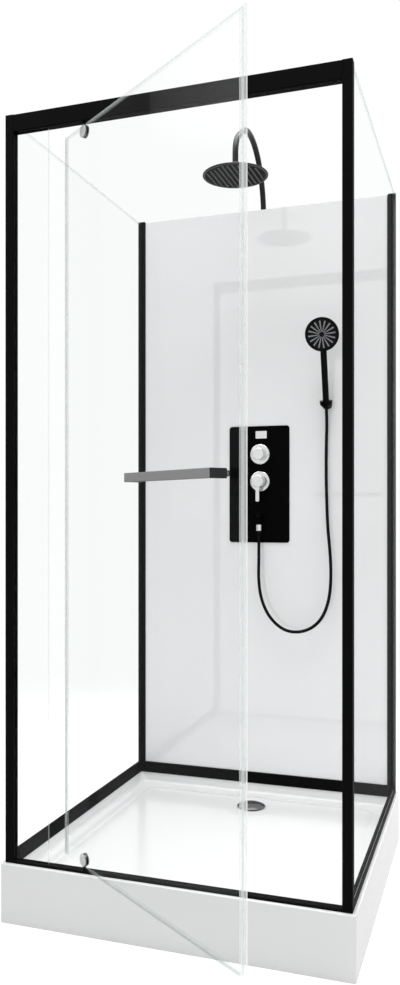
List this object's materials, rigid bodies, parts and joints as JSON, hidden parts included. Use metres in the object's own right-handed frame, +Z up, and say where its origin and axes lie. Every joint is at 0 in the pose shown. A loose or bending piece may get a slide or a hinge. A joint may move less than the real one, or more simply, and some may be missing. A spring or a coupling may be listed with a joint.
{
  "type": "shower cabin",
  "caption": "Square corner shower cabin on a skirted tray, with a pivoting glass door, black frame, rain head on a swan neck, hand shower and single-lever mixer.",
  "frame": {"origin": "middle of the tray's footprint, on the floor, under the middle foot", "axes": "+X right seen from the front, +Y from the door side to the rear wall, +Z up"},
  "size_m": [0.9, 1.2704, 2.2427],
  "materials": {
    "tray_acrylic": "glossy white acrylic",
    "black_frame": "matt black powder coat",
    "clear_glass": "clear tempered glass with greenish edges",
    "panel_glass": "white back-painted glossy glass",
    "clear_seal": "clear soft plastic",
    "black_rubber": "soft",
    "chrome_parts": "polished",
    "black_parts": "satin black",
    "black_plastic": "glossy black plastic",
    "white_plastic": "plain",
    "zinc_steel": "zinc plated",
    "brass_body": "rough cast",
    "hose_cover": "smooth black sleeve"
  },
  "bodies": {
    "cabin": {"tray_shell": "tray_acrylic", "tray_support_frame": "zinc_steel", "levelling_feet": "zinc_steel", "foot_lock_nuts": "zinc_steel", "drain_flange": "chrome_parts", "drain_gasket": "black_rubber", "drain_trap": "white_plastic", "front_left_post": "black_frame", "front_right_post": "black_frame", "rear_left_post": "black_frame", "rear_right_post": "black_frame", "post_caps": "black_plastic", "top_rail": "black_frame", "threshold_rail": "black_frame", "left_rail": "black_frame", "right_rail": "black_frame", "rear_rail": "black_frame", "frame_screws": "black_frame", "left_glass": "clear_glass", "right_glass": "clear_glass", "front_fixed_glass": "clear_glass", "rear_panel": "panel_glass", "glazing_beads": "black_rubber", "pivot_pins": "black_parts", "control_plate": "black_plastic", "badge_plate": "chrome_parts", "diverter_escutcheon": "chrome_parts", "mixer_escutcheon": "chrome_parts", "diverter_cartridge": "white_plastic", "mixer_cartridge": "white_plastic", "valve_body": "brass_body", "outlet_elbow": "black_parts", "hose_nut": "chrome_parts", "shower_hose": "hose_cover", "handset_holder": "black_plastic", "riser_arm": "black_parts", "arm_clips": "black_plastic"},
    "door": {"door_glass": "clear_glass", "door_free_seal": "clear_seal", "door_rear_seal": "clear_seal", "door_bottom_seal": "clear_seal", "clamp_outer_discs": "chrome_parts", "clamp_inner_discs": "chrome_parts", "clamp_pads": "black_rubber", "clamp_screws": "chrome_parts", "pivot_bushes": "black_plastic", "handle_bar": "black_frame", "handle_washers": "black_rubber", "handle_screws": "black_frame"},
    "diverter": {"diverter_knob": "chrome_parts"},
    "mixer_base": {"mixer_hub": "chrome_parts"},
    "mixer_handle": {"mixer_lever": "chrome_parts"},
    "handset": {"handset_body": "black_plastic", "handset_face": "black_plastic", "hose_cone": "black_plastic"},
    "drain_insert": {"drain_cover": "chrome_parts", "trap_cup": "white_plastic"},
    "swivel": {"swivel_ball": "chrome_parts"},
    "rain_head": {"rain_head_body": "black_parts", "rain_nozzle_plate": "black_plastic"}
  },
  "joints": [
    {"name": "door_hinge", "type": "hinge", "parent": "cabin", "child": "door", "pos_m": [-0.224, -0.428, 1.082], "axis": [0, 0, -1], "range_deg": [-35.2, 54.8]},
    {"name": "diverter_turn", "type": "hinge", "parent": "cabin", "child": "diverter", "pos_m": [-0.0011, 0.41, 1.2315], "axis": [0, -1, 0], "range_deg": [-60, 60]},
    {"name": "temperature_turn", "type": "hinge", "parent": "cabin", "child": "mixer_base", "pos_m": [-0.0011, 0.4127, 1.1415], "axis": [0, -1, 0], "range_deg": [-50, 50]},
    {"name": "flow_tilt", "type": "hinge", "parent": "mixer_base", "child": "mixer_handle", "pos_m": [-0.0011, 0.4127, 1.1415], "axis": [-1, 0, 0], "range_deg": [0, 20]},
    {"name": "handset_lift", "type": "slide", "parent": "cabin", "child": "handset", "axis": [0, -0.2672, 0.9636], "range_m": [0, 0.1]},
    {"name": "drain_lift", "type": "slide", "parent": "cabin", "child": "drain_insert", "axis": [0, 0, 1], "range_m": [0, 0.08]},
    {"name": "rain_tilt", "type": "hinge", "parent": "cabin", "child": "swivel", "pos_m": [0.005, 0.11688, 2.06577], "axis": [1, 0, 0], "range_deg": [-12, 12]},
    {"name": "rain_swing", "type": "hinge", "parent": "swivel", "child": "rain_head", "pos_m": [0.005, 0.11688, 2.06577], "axis": [0, 1, 0], "range_deg": [-12, 12]}
  ]
}
